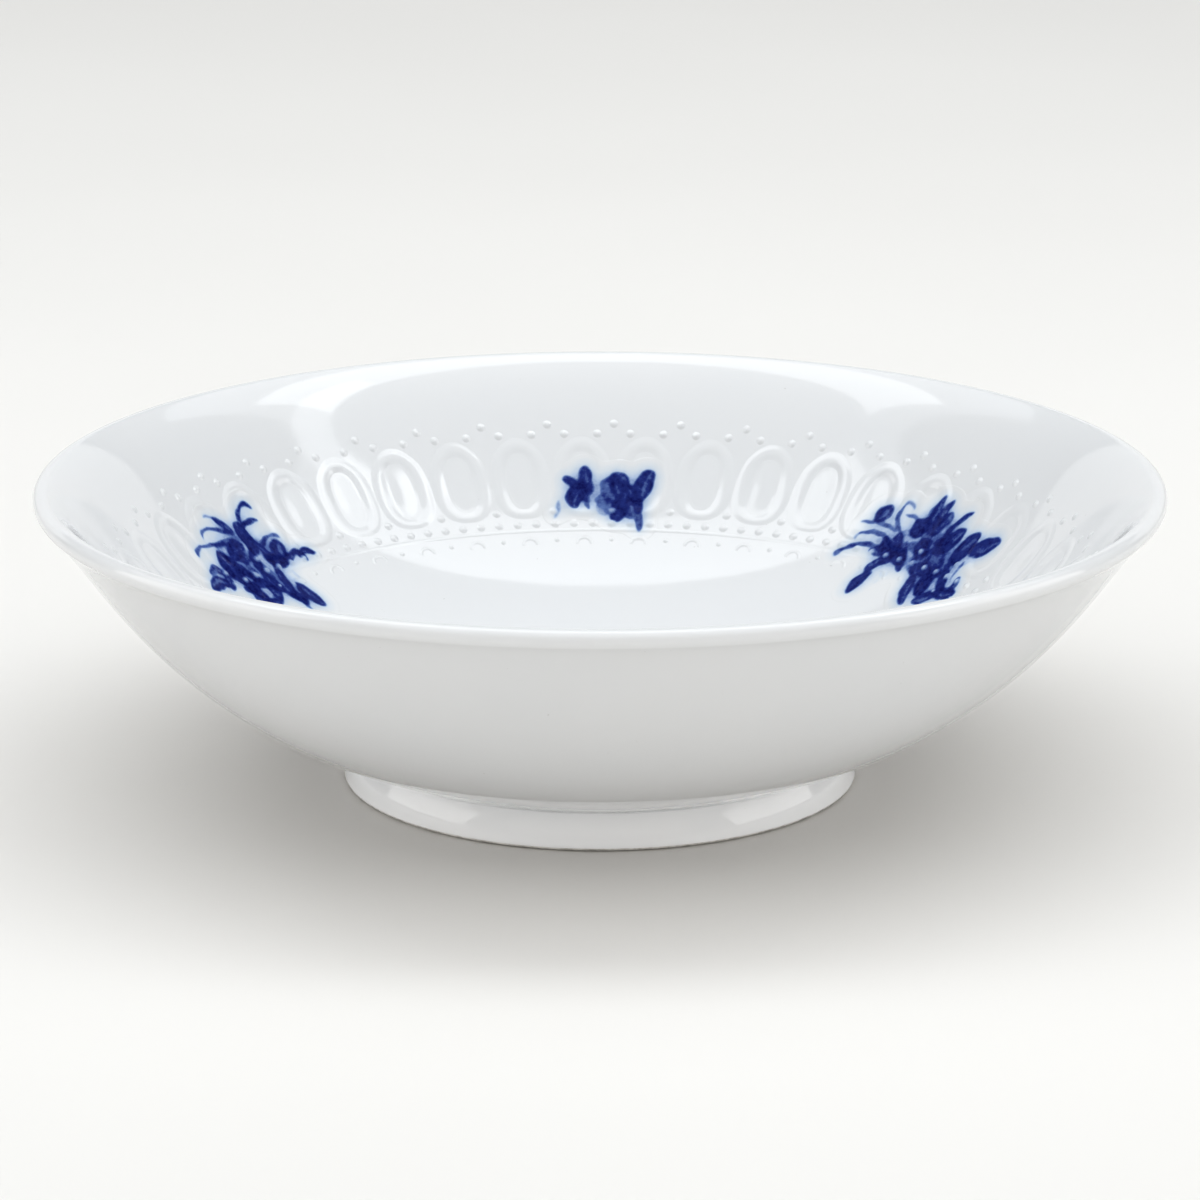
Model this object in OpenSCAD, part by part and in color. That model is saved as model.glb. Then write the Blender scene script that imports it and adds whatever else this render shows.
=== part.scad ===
// Round porcelain serving bowl on a luted foot ring, with a sprigged band of
// ovals and beads inside the wall and six cobalt flower sprays.
// Millimetres, +Z up, origin at the centre of the foot's bearing edge.

/* [Bowl] */
// Outer diameter over the lip
rim_d = 250; // [244:1:256]
// Height from the bearing edge of the foot to the top of the lip
bowl_h = 68.4; // [66:0.2:71]
// Thickness of the rounded lip
lip_t = 4.2; // [3.6:0.1:4.8]
// Thickness of the wall where it meets the foot
base_t = 4.8; // [4.4:0.1:5.2]
// Slope of the outer wall where it leaves the foot, degrees from level
foot_slope = 17.6; // [16:0.1:19]
// Slope of the outer wall where it reaches the lip, degrees from level
lip_slope = 37.5; // [34:0.5:41]
// How far the wall's curve runs out along its foot slope
foot_pull = 50; // [47:0.5:53]
// How far the wall's curve runs back along its lip slope
lip_pull = 12.5; // [10:0.5:15]
// Radius of the bend between the sloping wall and the level floor
floor_bend = 45; // [40:1:50]

/* [Foot ring] */
// Outer diameter of the foot at its bearing edge
foot_d = 114.8; // [113:0.2:117]
// Outer diameter of the foot where it meets the wall
neck_d = 110; // [108:0.2:111]
// Height of the foot's outer side
foot_h = 8.1; // [7.6:0.1:8.6]
// Width of the foot ring at its bearing edge
foot_w = 4.4; // [3.8:0.1:5]
// Rounding of the bearing edge
foot_round = 0.9; // [0.6:0.1:1.2]

/* [Relief band] */
// Number of ovals round the bowl
oval_n = 42; // [36:2:44]
// Height of an oval along the wall
oval_h = 20.8; // [19:0.2:21.4]
// Width of the flat frame round an oval
frame_w = 3.4; // [3:0.1:3.8]
// How far the frames stand proud of the wall
frame_proud = 0.8; // [0.5:0.1:1]
// Width of the raised boss inside each frame
boss_w = 5; // [4:0.2:5.4]
// Radius of the larger beads
bead_r = 0.95; // [0.7:0.05:1]
// Distance from the lip down the wall to the middle of the ovals
oval_drop = 33.9; // [33:0.1:34.6]
// Turn of the whole band about the axis, degrees from +Y towards +X
relief_turn = -2.5; // [-4:0.1:-1]

/* [Cobalt sprays] */
// Thickness of the cobalt layer
cobalt_t = 0.15; // [0.1:0.05:0.3]
// Bare margin left between the cobalt and the raised relief
cobalt_gap = 0.25; // [0.2:0.05:0.4]

/* [Hidden] */
$fn = 180;

porcelain = [0.93, 0.94, 0.95];
relief_white = [0.97, 0.98, 0.98];
bare_white = [0.88, 0.88, 0.86];
cobalt = [0.13, 0.18, 0.52];

// Places of the relief rows, as distances down the inside face from the lip
crown_top_drop = oval_drop - 15;
crown_side_drop = oval_drop - 12.4;
between_bead_drop = oval_drop + 8.7;
lower_bead_drop = oval_drop + 12.3;
line_drop = oval_drop + 14.2;
arch_drop = oval_drop + 18.2;
arch_bead_drop = oval_drop + 17.1;

pitch = 360 / oval_n;
crown_spread = pitch / 4;
// Share of the pitch that an oval fills, and how squared its outline is
oval_fill = 0.965;
oval_power = 0.8;
frame_points = 18;
opening_points = 14;
boss_points = 14;
boss_h = oval_h - 2 * frame_w - 1.2;
// Small tip at the top of each frame
tip_rise = 1.1;
tip_sharpness = 12;
boss_proud = 0.6;
arch_proud = 0.5;
line_proud = 0.3;
line_w = 0.9;
arch_r = 2.1;
arch_w = 0.8;
// How far an arch's ends run on below its middle
arch_tail = 0.4;
small_bead_r = 0.6;
// Gap under a bead's flat seat, which spans a shallow hollow of the wall
seat_lift = 0.02;
// Features of the cobalt narrower than twice this are dropped
finest_cobalt = 0.15;
leaf_points = 6;
// How deep the straight cutters reach that give the relief and the sprays their outlines
relief_cut = 1.6;
spray_cut = 6;
// Spare length of wall taken beyond the relief before it is cut to its outline
skin_margin = 0.8;
frame_top_drop = oval_drop - oval_h / 2 - tip_rise - skin_margin;
// The sprays' middle and the stretch of wall they may cover, as distances from the lip
spray_drop = 41;
spray_top_drop = 18;
spray_foot_drop = 64;
// Swell of the foot's outer side, and how far its inner side leans in towards the top
foot_swell = 0.35;
foot_lean = 1.6;

// The wall: one curve from foot to lip for the outer face, offset for the inner face
wall_steps = 24;
floor_steps = 6;
lip_points = 16;

function heading(angle) = [cos(angle), sin(angle)];

lip_centre = [(rim_d - lip_t) / 2, bowl_h - lip_t / 2];
wall_foot = [neck_d / 2, foot_h];
wall_lip = lip_centre + lip_t / 2 * heading(lip_slope - 90);
curve = [
    wall_foot,
    wall_foot + foot_pull * heading(foot_slope),
    wall_lip - lip_pull * heading(lip_slope),
    wall_lip
];

// Point of the outer wall at t, from 0 at the foot to 1 at the lip
function outside(t) =
    pow(1 - t, 3) * curve[0] + 3 * pow(1 - t, 2) * t * curve[1]
    + 3 * (1 - t) * t * t * curve[2] + pow(t, 3) * curve[3];

function slope(t) =
    let (run = pow(1 - t, 2) * (curve[1] - curve[0]) + 2 * (1 - t) * t * (curve[2] - curve[1])
        + t * t * (curve[3] - curve[2]))
    atan2(run[1], run[0]);

// Point of the inner face at t, standing proud of it towards the hollow
function inside(t, proud = 0) =
    outside(t) + (base_t + (lip_t - base_t) * t + proud) * heading(slope(t) + 90);

// Centre of the bend that both faces of the base share
bend_centre = outside(0) + (floor_bend + base_t) * heading(foot_slope + 90);

// Arc of the bend with the given radius, between two slopes
function bend_arc(radius, from, to) =
    [for (i = [0:floor_steps]) bend_centre + radius * heading(from + (to - from) * i / floor_steps - 90)];

// Length of the inner face from the lip down to wall step i
function run_down(i) =
    i >= wall_steps ? 0 : norm(inside((i + 1) / wall_steps) - inside(i / wall_steps)) + run_down(i + 1);

drops = [for (i = [wall_steps:-1:0]) [run_down(i), i / wall_steps]];
function t_at(drop) = lookup(drop, drops);

oval_w = oval_fill * pitch_width(oval_drop);

// Length of one pitch round the inner face at a drop
function pitch_width(drop) = 2 * PI * inside(t_at(drop))[0] / oval_n;

function oval_azimuth(i) = relief_turn + i * pitch;
function gap_azimuth(i) = oval_azimuth(i + 0.5);

// Stands its children on the inner face: X round the bowl, Y up the wall, Z into the hollow
module on_wall(azimuth, drop) {
    t = t_at(drop);
    seat = inside(t);
    rotate([0, 0, -azimuth])
        translate([0, seat[0], seat[1]])
            rotate([slope(t), 0, 0])
                children();
}

// The layer's seam lies in a gap between two ovals, near +X and clear of the sprays
seam_azimuth = gap_azimuth(floor(oval_n / 4));

// Layer that lies on the inner face between two drops
module wall_skin(top_drop, bottom_drop, proud) {
    first = floor(t_at(bottom_drop) * wall_steps);
    last = ceil(t_at(top_drop) * wall_steps);
    rotate([0, 0, 90 - seam_azimuth])
        rotate_extrude()
            polygon([
                for (i = [first:last]) inside(i / wall_steps),
                for (i = [last:-1:first]) inside(i / wall_steps, proud)
            ]);
}

// Keeps the part of the children that lies in such a layer
module pressed(top_drop, bottom_drop, proud) {
    intersection() {
        wall_skin(top_drop, bottom_drop, proud);
        children();
    }
}

// Straight cutter with the children's outline, reaching as deep into the wall as out of it
module cutter(depth) {
    translate([0, 0, -depth])
        linear_extrude(2 * depth)
            children();
}

// Long oval with fairly straight sides, rising to a small tip at its upper end
module oval_outline(w, h, rise, points) {
    function bulge(v) = sign(v) * pow(abs(v), oval_power);
    polygon([
        for (i = [0:points - 1])
            let (a = 360 * i / points)
            [w / 2 * bulge(sin(a)), h / 2 * bulge(cos(a)) + rise * pow(max(0, cos(a)), tip_sharpness)]
    ]);
}

module frame_outline(margin = 0) {
    difference() {
        oval_outline(oval_w + 2 * margin, oval_h + 2 * margin, tip_rise, frame_points);
        oval_outline(
            oval_w - 2 * frame_w - 2 * margin,
            oval_h - 1.5 * frame_w - 2 * margin,
            0,
            opening_points
        );
    }
}

module boss_outline(margin = 0) {
    oval_outline(boss_w + 2 * margin, boss_h + 2 * margin, 0, boss_points);
}

module bowl_body() {
    color(porcelain)
        rotate_extrude()
            polygon(concat(
                [[0, bend_centre[1] - floor_bend - base_t]],
                bend_arc(floor_bend + base_t, 0, foot_slope),
                [for (i = [1:wall_steps - 1]) outside(i / wall_steps)],
                [for (i = [0:lip_points])
                    lip_centre + lip_t / 2 * heading(lip_slope - 90 + 180 * i / lip_points)],
                [for (i = [wall_steps - 1:-1:1]) inside(i / wall_steps)],
                bend_arc(floor_bend, foot_slope, 0),
                [[0, bend_centre[1] - floor_bend]]
            ));
}

// Slope of the base's underside where the foot ring's inner side meets it
foot_inner_slope = asin((foot_d / 2 - foot_w - foot_lean - bend_centre[0]) / (floor_bend + base_t));

module foot_ring() {
    outer = foot_d / 2;
    inner = outer - foot_w;
    color(bare_white)
        rotate_extrude()
            polygon(concat(
                [for (a = [-90:22.5:0]) [outer - foot_round, foot_round] + foot_round * heading(a)],
                [[(outer + neck_d / 2) / 2 + foot_swell, foot_h / 2]],
                bend_arc(floor_bend + base_t, foot_slope, foot_inner_slope),
                [for (a = [180:22.5:270]) [inner + foot_round, foot_round] + foot_round * heading(a)]
            ));
}

module oval_frames() {
    color(relief_white)
        pressed(frame_top_drop, oval_drop + oval_h / 2 + skin_margin, frame_proud)
            for (i = [0:oval_n - 1])
                on_wall(oval_azimuth(i), oval_drop)
                    cutter(relief_cut) frame_outline();
}

module oval_bosses() {
    color(relief_white)
        pressed(oval_drop - oval_h / 2, oval_drop + oval_h / 2, boss_proud)
            for (i = [0:oval_n - 1])
                on_wall(oval_azimuth(i), oval_drop)
                    cutter(relief_cut) boss_outline();
}

// One bead seated on the wall as a half ball
module bead(azimuth, drop, radius) {
    on_wall(azimuth, drop)
        translate([0, 0, seat_lift])
            intersection() {
                sphere(radius, $fn = 32);
                translate([-radius, -radius, 0])
                    cube(2 * radius);
            }
}

module crown_beads() {
    color(relief_white)
        for (i = [0:oval_n - 1]) {
            bead(gap_azimuth(i), crown_top_drop, bead_r);
            bead(gap_azimuth(i) - crown_spread, crown_side_drop, bead_r);
            bead(gap_azimuth(i) + crown_spread, crown_side_drop, bead_r);
        }
}

module lower_beads() {
    color(relief_white)
        for (i = [0:oval_n - 1]) {
            bead(gap_azimuth(i), between_bead_drop, bead_r);
            for (third = [-1:1])
                bead(gap_azimuth(i + third / 3), lower_bead_drop, bead_r);
        }
}

// Raised line under the lower beads
module band_line() {
    top = t_at(line_drop - line_w / 2);
    foot = t_at(line_drop + line_w / 2);
    color(relief_white)
        rotate_extrude()
            polygon([inside(foot), inside(top), inside(top, line_proud), inside(foot, line_proud)]);
}

module arches() {
    color(relief_white)
        pressed(arch_drop - arch_r - skin_margin, arch_drop + arch_tail + skin_margin, arch_proud)
            for (i = [0:oval_n - 1])
                on_wall(oval_azimuth(i), arch_drop)
                    cutter(relief_cut)
                        difference() {
                            circle(arch_r, $fn = 12);
                            circle(arch_r - arch_w, $fn = 12);
                            translate([-arch_r, -2 * arch_r - arch_tail])
                                square(2 * arch_r);
                        }
}

module arch_beads() {
    color(relief_white)
        for (i = [0:oval_n - 1])
            bead(gap_azimuth(i), arch_bead_drop, small_bead_r);
}

// Leaves as [base x, base y, tip x, tip y, width], in millimetres round and up the wall
large_a_leaves = [
    [1.7, 6, -1.6, 12, 1.8], [2, 5.2, -6.5, 10, 1.2], [1, 3.8, -12.5, 6.4, 1.2],
    [5.2, 6, 8, 11.6, 1.4], [6, 7, 11.8, 7.8, 1.4], [4.5, 2, 4.4, 9, 3.4],
    [7, 1.4, 13, 2.6, 1.2], [9.5, -4, 12.6, 1.2, 3.4], [10, -4.2, 16, -2.2, 2], [15, -4, 20.4, -4, 2.2],
    [-1, -1, -2.2, 4.4, 4.8], [-7, -5.5, -7.8, 3.6, 4.4], [-12.5, -5.4, -12, -0.4, 2.6],
    [-11, -1, -16, 0, 2.4], [-12, -4, -19.6, -3.4, 3.2], [-6.4, -9, -6.6, -4, 2.2],
    [2.4, -11.6, 2.2, 1, 2.6], [5.4, -15, 7, 2.4, 2.2], [9.4, -18, 8.2, -11.6, 3.2]
];
large_b_leaves = [
    [-10.4, 1.4, -21.4, 2.4, 1.4], [-11, -1.4, -20, -1.2, 1.4], [-12, -4, -21.6, -5.8, 1.4],
    [-9.8, 2.2, -12.6, 9.2, 1.2], [-1.2, 4, -2.4, 13, 3.4], [0.4, 4.2, 2.2, 9, 3.4],
    [4.2, 3.6, 8.2, 11.4, 1.4], [4.8, 0, 8.8, 6.2, 4.6], [12.8, -0.6, 14.8, 6.4, 4.4],
    [16.6, 3.2, 23, 7.4, 4.2], [-6, -4.6, -12, -0.8, 3.4], [-3.4, -6.8, -8.6, 0.6, 3],
    [-6.6, -7.4, -11, -10.4, 2.6], [-9.4, -11.2, -10.6, -17, 2.8], [9, -11.6, 9, -6, 3.6],
    [6.8, -15.8, 3.8, -8, 2.8], [10.4, -14, 15, -9.4, 2.8], [14.6, -9.6, 20.4, -8, 3.2],
    [12.4, -8, 14.6, -3.6, 1.8], [10.4, -6, 11, 1.6, 1.4]
];
small_leaves = [
    [-3.6, 4, -4.4, 9.8, 3], [-6.2, 4.6, -9.4, 7.4, 2], [-7, 0.4, -5.4, 5.8, 3.8],
    [0.2, -2.4, 0.4, 4, 3.2], [9.2, 2.4, 11.4, 8.6, 3.8], [7.8, -1, 6, 6.2, 2.2],
    [3.2, -3.6, 5, 2.2, 3.6], [8.4, -6.6, 7.8, 0, 1.6]
];
// Flower heads as [centre x, centre y, radius]
large_a_flowers = [[-4.2, -10.6, 4.4]];
large_b_flowers = [[5.4, -2.8, 4.4]];
small_flowers = [[2.6, 5, 3.2]];
// Round buds as [centre x, centre y, radius]
large_a_buds = [[12, -0.3, 1.9]];
large_b_buds = [[-17, 5.2, 1.9], [-4.6, 4.3, 2.2]];
small_buds = [];

// Pointed leaf from its base to its tip
module leaf(x0, y0, x1, y1, w) {
    length = norm([x1 - x0, y1 - y0]);
    translate([x0, y0])
        rotate(atan2(y1 - y0, x1 - x0))
            polygon([
                for (side = [1, -1], i = [0:leaf_points - 1])
                    let (u = (side > 0 ? i : leaf_points - i) / leaf_points)
                    [length * u, side * w / 2 * sin(180 * pow(u, 0.85))]
            ]);
}

// Five round petals about a heart
module flower(x, y, radius) {
    translate([x, y]) {
        circle(radius * 0.45, $fn = 16);
        for (petal = [0:4])
            rotate(90 + 72 * petal)
                translate([radius * 0.6, 0])
                    circle(radius * 0.4, $fn = 16);
    }
}

module spray_outline(leaves, flowers, buds) {
    for (l = leaves)
        leaf(l[0], l[1], l[2], l[3], l[4]);
    for (f = flowers)
        flower(f[0], f[1], f[2]);
    for (b = buds)
        translate([b[0], b[1]])
            circle(b[2], $fn = 16);
}

// Lays a flat outline that belongs at one place on the wall into the plane of a spray that is
// turned from it by the angle given
module seen_from_spray(turn, drop) {
    t = t_at(drop);
    t0 = t_at(spray_drop);
    seat = inside(t);
    seat0 = inside(t0);
    shift = [seat[0] * sin(turn), (seat[0] * cos(turn) - seat0[0]) * cos(slope(t0))
        + (seat[1] - seat0[1]) * sin(slope(t0))];
    across = [cos(turn), -sin(turn) * cos(slope(t0))];
    up = [
        sin(turn) * cos(slope(t)),
        cos(turn) * cos(slope(t)) * cos(slope(t0)) + sin(slope(t)) * sin(slope(t0))
    ];
    multmatrix([
        [across[0], up[0], 0, shift[0]],
        [across[1], up[1], 0, shift[1]],
        [0, 0, 1, 0],
        [0, 0, 0, 1]
    ])
        children();
}

module clear_disc(turn, drop, radius) {
    seen_from_spray(turn, drop)
        circle(radius + cobalt_gap, $fn = 16);
}

// The raised relief within reach of a spray, with the bare margin round it
module relief_near(azimuth, reach) {
    first = floor((azimuth - relief_turn - reach) / pitch);
    last = ceil((azimuth - relief_turn + reach) / pitch);
    for (i = [first:last]) {
        here = oval_azimuth(i) - azimuth;
        gap = gap_azimuth(i) - azimuth;
        seen_from_spray(here, oval_drop) {
            frame_outline(cobalt_gap);
            boss_outline(cobalt_gap);
        }
        for (third = [-1:1])
            clear_disc(gap + third / 3 * pitch, lower_bead_drop, bead_r);
        clear_disc(gap, crown_top_drop, bead_r);
        clear_disc(gap, between_bead_drop, bead_r);
        clear_disc(gap - crown_spread, crown_side_drop, bead_r);
        clear_disc(gap + crown_spread, crown_side_drop, bead_r);
        clear_disc(gap, arch_bead_drop, small_bead_r);
        clear_disc(here, arch_drop, arch_r);
        // Slightly over one pitch long, so that neighbours overlap into one strip
        seen_from_spray(here, line_drop)
            square([1.05 * pitch_width(line_drop), line_w + 2 * cobalt_gap], center = true);
    }
}

module spray(azimuth, reach, leaves, flowers, buds) {
    color(cobalt)
        pressed(spray_top_drop, spray_foot_drop, cobalt_t)
            on_wall(azimuth, spray_drop)
                cutter(spray_cut)
                    offset(delta = finest_cobalt)
                        offset(delta = -finest_cobalt)
                            difference() {
                                spray_outline(leaves, flowers, buds);
                                relief_near(azimuth, reach);
                            }
}

module large_spray_left() { spray(-60, 12, large_a_leaves, large_a_flowers, large_a_buds); }
module large_spray_right() { spray(53, 13, large_b_leaves, large_b_flowers, large_b_buds); }
module large_spray_front() { spray(180, 12, large_a_leaves, large_a_flowers, large_a_buds); }
module small_spray_rear() { spray(0.5, 7, small_leaves, small_flowers, small_buds); }
module small_spray_front_left() { spray(-120, 7, small_leaves, small_flowers, small_buds); }
module small_spray_front_right() { spray(120, 7, small_leaves, small_flowers, small_buds); }

bowl_body();
foot_ring();
oval_frames();
oval_bosses();
crown_beads();
lower_beads();
band_line();
arches();
arch_beads();
large_spray_left();
large_spray_right();
large_spray_front();
small_spray_rear();
small_spray_front_left();
small_spray_front_right();
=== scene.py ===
import math

import bpy
import numpy as np
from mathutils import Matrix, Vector


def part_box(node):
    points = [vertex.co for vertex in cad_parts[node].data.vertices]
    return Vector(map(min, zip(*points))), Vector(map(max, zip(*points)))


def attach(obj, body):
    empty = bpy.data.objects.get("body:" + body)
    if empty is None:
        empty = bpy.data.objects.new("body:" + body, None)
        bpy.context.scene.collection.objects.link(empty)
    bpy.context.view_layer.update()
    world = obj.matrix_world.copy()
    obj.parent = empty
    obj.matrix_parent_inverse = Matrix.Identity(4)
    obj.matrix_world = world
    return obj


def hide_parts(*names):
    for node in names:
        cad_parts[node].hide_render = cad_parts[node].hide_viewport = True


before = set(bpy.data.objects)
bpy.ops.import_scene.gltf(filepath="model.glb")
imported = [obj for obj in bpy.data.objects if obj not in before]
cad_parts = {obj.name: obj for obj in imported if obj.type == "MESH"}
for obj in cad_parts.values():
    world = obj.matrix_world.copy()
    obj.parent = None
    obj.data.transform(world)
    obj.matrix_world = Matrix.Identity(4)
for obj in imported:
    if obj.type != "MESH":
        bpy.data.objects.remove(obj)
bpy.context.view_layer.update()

MM = 0.001

# The bowl's turned profile: its limits come from the frame, its curve from these values
BODY_LOW, BODY_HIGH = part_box("bowl_body")
FOOT_LOW, FOOT_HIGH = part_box("foot_ring")
RIM_R, TOP = BODY_HIGH.x, BODY_HIGH.z
FOOT_R, NECK_Z = FOOT_HIGH.x, FOOT_HIGH.z
NECK_R = 55 * MM
LIP_T, BASE_T = 4.2 * MM, 4.8 * MM
FOOT_SLOPE, LIP_SLOPE = math.radians(17.6), math.radians(37.5)
FOOT_PULL, LIP_PULL = 50 * MM, 12.5 * MM
FLOOR_BEND = 45 * MM
FOOT_W = 4.4 * MM
FOOT_ROUND = 0.9 * MM
FOOT_SWELL = 0.45 * MM
FOOT_LEAN = 1.6 * MM
TURNS = 384
WALL_RINGS, LIP_RINGS, FLOOR_RINGS = 56, 22, 8
BEND_RINGS, FOOT_RINGS, ROUND_RINGS = 8, 14, 7

# The relief band, in millimetres, with each row's distance down the inside face from the lip
OVALS = 42
PITCH = 360 / OVALS
RELIEF_TURN = -2.5
OVAL_DROP, OVAL_W, OVAL_H = 33.9, 14.4, 20.8
OPENING_W, OPENING_H = 7.6, 15.7
TIP_RISE, TIP_SHARPNESS = 1.1, 12
# How far each ornament stands proud of the wall; a bead's is a share of its radius
FRAME_PROUD, BOSS_PROUD, ARCH_PROUD, LINE_PROUD = 0.2, 0.15, 0.12, 0.07
BEAD_PROUD = 0.3
BOSS_W, BOSS_H = 5.75, 13.44
CROWN_TOP, CROWN_SIDE = OVAL_DROP - 15, OVAL_DROP - 12.4
BETWEEN, LOWER_ROW = OVAL_DROP + 8.7, OVAL_DROP + 12.3
LINE_DROP, ARCH_DROP, ARCH_BEADS = OVAL_DROP + 14.2, OVAL_DROP + 18.2, OVAL_DROP + 17.1
BEAD_R, SMALL_BEAD_R = 1.05, 0.65
# How far an ornament's edge lies under the wall, and how deep its root goes
EDGE_SINK = 0.012
ROOT = 0.4
ARCH_R, ARCH_W = 1.7, 0.9
ARCH_TAIL, ARCH_FADE = 15, 0.35
LINE_W = 1.1
SQUARENESS = 2.5
# A ridge runs out beyond its half width of 1, over a soft shoulder, and a dome beyond its radius of 1
RIDGE_REACH, RIDGE_SHOULDER = 1.35, 1.25
DOME_REACH, DOME_POWER = 1.12, 1.3

# The cobalt sprays, in millimetres on the wall: their middle, and the grid that the paint is laid on
SPRAY_DROP = 41.0
CELL, PAINT_MARGIN = 0.22, 4.5
# Softness of a brush stroke's edge, how far the wet colour spreads, and how far the hand wobbles
BRUSH_EDGE, BRUSH_SPREAD, WOBBLE = 0.3, 0.1, 0.12
# How strongly the bristles streak a wide stroke, and the steps along a stroke
STREAK, STROKE_STEPS = 0.42, 36
# Blur of the ink, of the bleed close round it and of the pale halo further out
INK_BLUR, BLEED_REACH, HALO_REACH = 0.26, 0.55, 1.6
# Strength of the bleed and of the halo, the most that a halo tints, and where it starts to show
BLEED, HALO_TINT, HALO_LIMIT = 0.8, 0.7, 0.4
HALO_START, HALO_FADE = 0.012, 0.05
# How much colour the beads and the ridges shed in the firing; on the beads the white left bare is also a
# painted highlight
BEAD_SHED_AND_HIGHLIGHT, RIDGE_SHED = 0.6, 0.08
# The film's height over the wall, the depth of its underside, and the halo at which it stops
FILM, FILM_ROOT, EDGE_HALO = 0.03, 0.12, 0.006

# Materials
# The foot is the same porcelain as the body but far paler: painted light, standing in for the front light
# on the foot
BODY_WHITE, FOOT_WHITE_PAINTED_LIGHT = 0.705, 0.98
COAT = 0.25
GLAZE_ROUGHNESS = (0.05, 0.1)
BARE_ROUGHNESS = 0.62
# Height where the glaze ends above the bearing edge, and how far it thins out, in metres
GLAZE_END, GLAZE_FADE = 0.0005, 0.00025
COBALT_WASH = [
    (0.0, (1, 1, 1)),
    (0.12, (0.84, 0.91, 0.98)),
    (0.28, (0.55, 0.69, 0.92)),
    (0.5, (0.13, 0.22, 0.54)),
    (0.75, (0.018, 0.034, 0.23)),
    (1.0, (0.002, 0.004, 0.095)),
]
FLOOR_DARKER, FLOOR_PALER = (0.76, 0.745, 0.72), (0.78, 0.765, 0.74)
FLOOR_SIZE, FLOOR_GAP = 12, 0.0002

# Camera, in metres, radians and millimetres of lens
CAMERA_DISTANCE, CAMERA_AIM_HEIGHT = 1.1045, 0.033
CAMERA_ELEVATION, CAMERA_LIFT = math.radians(16.105), math.radians(0.339)
LENS = 148.3


def heading(angle):
    """Unit vectors at an angle from the profile's outward axis."""
    return np.stack([np.cos(angle), np.sin(angle)], -1)


LIP_C = np.array([RIM_R - LIP_T / 2, TOP - LIP_T / 2])
CURVE_START = np.array([NECK_R, NECK_Z])
CURVE_END = LIP_C + LIP_T / 2 * heading(LIP_SLOPE - math.pi / 2)
CURVE = [
    CURVE_START,
    CURVE_START + FOOT_PULL * heading(FOOT_SLOPE),
    CURVE_END - LIP_PULL * heading(LIP_SLOPE),
    CURVE_END,
]
BEND_C = CURVE_START + (FLOOR_BEND + BASE_T) * heading(FOOT_SLOPE + math.pi / 2)


def outside(t):
    """Points of the outer wall, from t = 0 at the foot to 1 at the lip."""
    t = np.asarray(t, float)[..., None]
    a, b, c, d = CURVE
    return (1 - t) ** 3 * a + 3 * (1 - t) ** 2 * t * b + 3 * (1 - t) * t * t * c + t**3 * d


def slope(t):
    t = np.asarray(t, float)[..., None]
    a, b, c, d = CURVE
    run = (1 - t) ** 2 * (b - a) + 2 * (1 - t) * t * (c - b) + t * t * (d - c)
    return np.arctan2(run[..., 1], run[..., 0])


def inside(t, proud=0.0):
    """Points of the inner face, standing proud of it into the hollow by a distance in metres."""
    t = np.asarray(t, float)
    depth = BASE_T + (LIP_T - BASE_T) * t + proud
    return outside(t) + depth[..., None] * heading(slope(t) + math.pi / 2)


STEPS = np.linspace(1, 0, 600)
FACE = inside(STEPS)
DROPS = np.concatenate([[0], np.cumsum(np.linalg.norm(np.diff(FACE, axis=0), axis=1))]) / MM


def radius_at(drop):
    """Radius of the inner face in millimetres at a distance down from the lip."""
    return np.interp(drop, DROPS, FACE[:, 0]) / MM


def wall_points(azimuth, drop, proud):
    """Points on the inner face; azimuth in degrees from +Y towards +X, the rest in millimetres."""
    t = np.interp(drop, DROPS, STEPS)
    p = inside(t, np.asarray(proud, float) * MM)
    a = np.radians(azimuth)
    return np.stack([p[..., 0] * np.sin(a), p[..., 0] * np.cos(a), p[..., 1]], -1)


def stand(azimuth, drop, x, y, proud):
    """Local millimetres x round the wall and y up it, about a place on the wall, as points."""
    down = drop - y
    return wall_points(azimuth + np.degrees(x / radius_at(down)), down, proud)


def smooth_step(v):
    v = np.clip(v, 0, 1)
    return v * v * (3 - 2 * v)


def make_piece(name, verts, faces, material, node):
    """One smooth mesh piece that stands for a CAD node."""
    faces = [tuple(int(v) for v in face) for face in faces]
    mesh = bpy.data.meshes.new(name)
    mesh.from_pydata(np.asarray(verts, float).tolist(), [], faces)
    mesh.polygons.foreach_set("use_smooth", [True] * len(faces))
    mesh.materials.append(material)
    mesh.validate()
    mesh.update()
    piece = bpy.data.objects.new(name, mesh)
    bpy.context.collection.objects.link(piece)
    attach(piece, "root")
    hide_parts(node)
    return piece


def revolved(profile, turns=TURNS):
    """Verts and faces of a profile turned about Z. Ends on the axis close to a point."""
    profile = np.asarray(profile, float)
    on_axis = profile[:, 0] < 1e-9
    angle = np.linspace(0, 2 * math.pi, turns, endpoint=False)
    verts, rings = [], []
    for (r, z), pole in zip(profile, on_axis):
        start = sum(len(v) for v in verts)
        if pole:
            verts.append(np.array([[0, 0, z]]))
            rings.append(np.full(turns, start))
        else:
            verts.append(np.stack([r * np.cos(angle), r * np.sin(angle), np.full(turns, z)], -1))
            rings.append(start + np.arange(turns))
    faces = []
    closed = not on_axis.any()
    for i in range(len(profile) if closed else len(profile) - 1):
        low, high = rings[i], rings[(i + 1) % len(profile)]
        low_next, high_next = np.roll(low, -1), np.roll(high, -1)
        if on_axis[i]:
            faces += np.stack([low, high_next, high], -1).tolist()
        elif on_axis[(i + 1) % len(profile)]:
            faces += np.stack([low, low_next, high], -1).tolist()
        else:
            faces += np.stack([low, low_next, high_next, high], -1).tolist()
    return np.concatenate(verts), faces


def bend_arc(radius, start, end, points=BEND_RINGS):
    """The bend between the sloping wall and the level floor, from one slope to another."""
    return [BEND_C + radius * heading(a - math.pi / 2) for a in np.linspace(start, end, points)]


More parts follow.
